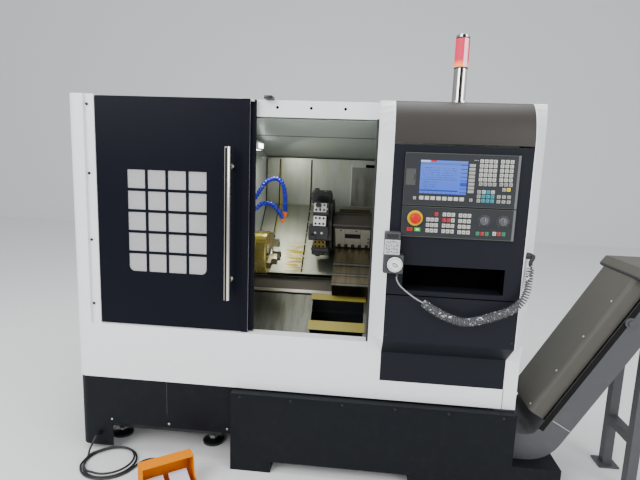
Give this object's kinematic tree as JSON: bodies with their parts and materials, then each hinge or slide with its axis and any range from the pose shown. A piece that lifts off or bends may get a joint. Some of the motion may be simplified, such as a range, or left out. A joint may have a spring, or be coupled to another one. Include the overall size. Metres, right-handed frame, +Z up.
{
  "type": "cnc turning lathe",
  "caption": "Slant-bed CNC lathe with sliding door, chuck, tool turret, control column with hand pendant, signal tower, chip conveyor and foot switch",
  "frame": {"origin": "on the floor under the middle of the whole machine's outline", "axes": "+X to the chip conveyor's side, +Y to the back, +Z up"},
  "size_m": [2.6658, 1.9556, 1.8616],
  "materials": {
    "base_paint": "satin",
    "black_oxide": "black oxide",
    "cable_black": "matt",
    "cast_iron": "painted and machined",
    "clear_window": "clear",
    "console_paint": "satin",
    "conveyor_paint": "matt",
    "dial_white": "gloss",
    "door_paint": "satin",
    "green_plastic": "gloss",
    "guard_orange": "gloss",
    "hood_paint": "satin",
    "hose_blue": "gloss",
    "knob_grey": "matt",
    "lamp_body": "satin",
    "liner_grey": "satin",
    "pedal_grey": "ribbed",
    "plastic_dark": "matt",
    "red_plastic": "gloss",
    "sleeve_clear": "clear sleeve over a coiled cord",
    "stainless": "brushed",
    "steel": "polished",
    "white_paint": "satin"
  },
  "bodies": {
    "machine": {"base_casting": "cast_iron", "base_front_cover": "base_paint", "chip_chute": "liner_grey", "console_face": "console_paint", "console_hood": "hood_paint", "console_housing": "white_paint", "conveyor_casing": "conveyor_paint", "conveyor_cover": "conveyor_paint", "conveyor_gearmotor": "cast_iron", "conveyor_hood": "conveyor_paint", "coolant_hose_lower": "hose_blue", "coolant_hose_upper": "hose_blue", "coolant_tank": "base_paint", "display_unit": "plastic_dark", "electrical_cabinet": "white_paint", "foot_cable": "cable_black", "foot_cable_coil": "cable_black", "foot_guard": "guard_orange", "front_panel": "white_paint", "headstock": "cast_iron", "operator_panel": "plastic_dark", "pendant_body": "plastic_dark", "pendant_coil": "sleeve_clear", "pendant_lead": "cable_black", "rear_cover": "white_paint", "roof_cover": "white_paint", "side_cover_left": "white_paint", "side_cover_right": "white_paint", "slant_bed": "cast_iron", "splash_liner": "liner_grey", "top_rail": "white_paint", "tower_lens": "red_plastic", "tower_pole": "steel", "way_cover_left": "stainless", "way_cover_right": "stainless", "work_lamp": "lamp_body"},
    "door": {"door_panel": "door_paint", "window_glass": "clear_window", "door_handle": "steel"},
    "spindle": {"spindle_chuck": "steel"},
    "jaw_1": {"chuck_jaw_1": "steel"},
    "jaw_2": {"chuck_jaw_2": "steel"},
    "jaw_3": {"chuck_jaw_3": "steel"},
    "saddle": {"saddle": "stainless"},
    "way_cover": {"way_cover_middle": "stainless"},
    "cross": {"cross_slide": "stainless", "turret_housing": "cast_iron"},
    "cross_cover": {"cross_cover_middle": "stainless"},
    "turret": {"turret_disc": "black_oxide"},
    "cabinet_door": {"cabinet_door": "white_paint"},
    "conveyor_drive": {"conveyor_drive_shaft": "steel"},
    "estop": {"estop_button": "red_plastic"},
    "start": {"start_button": "green_plastic"},
    "stop": {"stop_button": "red_plastic"},
    "feed": {"feed_knob": "knob_grey"},
    "speed": {"speed_knob": "knob_grey"},
    "flap": {"access_flap": "plastic_dark"},
    "dial": {"pendant_dial": "dial_white"},
    "left_pedal": {"pedal_left": "pedal_grey"},
    "right_pedal": {"pedal_right": "pedal_grey"}
  },
  "joints": [
    {"name": "door_slide", "type": "slide", "parent": "machine", "child": "door", "axis": [1, 0, 0], "range_m": [0, 0.497]},
    {"name": "spindle_turn", "type": "hinge", "parent": "machine", "child": "spindle", "pos_m": [-0.56875, -0.34779, 0.93081], "axis": [1, 0, 0], "continuous": true},
    {"name": "jaw_1_slide", "type": "slide", "parent": "spindle", "child": "jaw_1", "axis": [0, 0, 1], "range_m": [-0.004, 0.006]},
    {"name": "jaw_2_slide", "type": "slide", "parent": "spindle", "child": "jaw_2", "axis": [0, 0.866, -0.5], "range_m": [-0.004, 0.006]},
    {"name": "jaw_3_slide", "type": "slide", "parent": "spindle", "child": "jaw_3", "axis": [0, -0.866, -0.5], "range_m": [-0.004, 0.006]},
    {"name": "saddle_slide", "type": "slide", "parent": "machine", "child": "saddle", "axis": [1, 0, 0], "range_m": [-0.1, 0.19]},
    {"name": "way_cover_slide", "type": "slide", "parent": "machine", "child": "way_cover", "axis": [1, 0, 0], "range_m": [-0.05, 0.095]},
    {"name": "cross_slide_feed", "type": "slide", "parent": "saddle", "child": "cross", "axis": [0, 0.7071, 0.7071], "range_m": [-0.05, 0.14]},
    {"name": "cross_cover_slide", "type": "slide", "parent": "saddle", "child": "cross_cover", "axis": [0, 0.7071, 0.7071], "range_m": [-0.025, 0.07]},
    {"name": "turret_index", "type": "hinge", "parent": "cross", "child": "turret", "pos_m": [-0.26875, -0.21344, 1.06517], "axis": [1, 0, 0], "continuous": true},
    {"name": "cabinet_door_hinge", "type": "hinge", "parent": "machine", "child": "cabinet_door", "pos_m": [0.08725, 0.96377, 1], "axis": [0, 0, -1], "range_deg": [0, 110]},
    {"name": "conveyor_drive_turn", "type": "hinge", "parent": "machine", "child": "conveyor_drive", "pos_m": [1.14125, -0.43283, 0.915], "axis": [0, 1, 0], "continuous": true},
    {"name": "estop_press", "type": "slide", "parent": "machine", "child": "estop", "axis": [0, 1, 0], "range_m": [0, 0.004], "stiffness_N_per_m": 900, "springref_m": -0.001},
    {"name": "start_press", "type": "slide", "parent": "machine", "child": "start", "axis": [0, 1, 0], "range_m": [0, 0.002], "stiffness_N_per_m": 500, "springref_m": -0.001},
    {"name": "stop_press", "type": "slide", "parent": "machine", "child": "stop", "axis": [0, 1, 0], "range_m": [0, 0.002], "stiffness_N_per_m": 500, "springref_m": -0.001},
    {"name": "feed_knob_turn", "type": "hinge", "parent": "machine", "child": "feed", "pos_m": [0.37675, -0.69913, 1.1615], "axis": [0, 1, 0], "range_deg": [-135, 135]},
    {"name": "speed_knob_turn", "type": "hinge", "parent": "machine", "child": "speed", "pos_m": [0.44625, -0.69913, 1.1615], "axis": [0, 1, 0], "range_deg": [-135, 135]},
    {"name": "flap_hinge", "type": "hinge", "parent": "machine", "child": "flap", "pos_m": [0.07625, -0.69883, 1.3163], "axis": [0, 0, -1], "range_deg": [0, 95]},
    {"name": "dial_turn", "type": "hinge", "parent": "machine", "child": "dial", "pos_m": [0.05225, -0.73713, 0.984], "axis": [0, 1, 0], "continuous": true},
    {"name": "left_pedal_press", "type": "hinge", "parent": "machine", "child": "left_pedal", "pos_m": [-0.80317, -0.9323, 0.024], "axis": [-0.7986, -0.6018, 0], "range_deg": [0, 8], "stiffness_Nm_per_rad": 8, "springref_deg": -6.88},
    {"name": "right_pedal_press", "type": "hinge", "parent": "machine", "child": "right_pedal", "pos_m": [-0.7265, -0.87453, 0.024], "axis": [-0.7986, -0.6018, 0], "range_deg": [0, 8], "stiffness_Nm_per_rad": 8, "springref_deg": -6.88}
  ],
  "couplings": [
    {"joint": "jaw_2_slide", "follows": "jaw_1_slide", "ratio": 1},
    {"joint": "jaw_3_slide", "follows": "jaw_1_slide", "ratio": 1},
    {"joint": "way_cover_slide", "follows": "saddle_slide", "ratio": 0.5},
    {"joint": "cross_cover_slide", "follows": "cross_slide_feed", "ratio": 0.5}
  ]
}
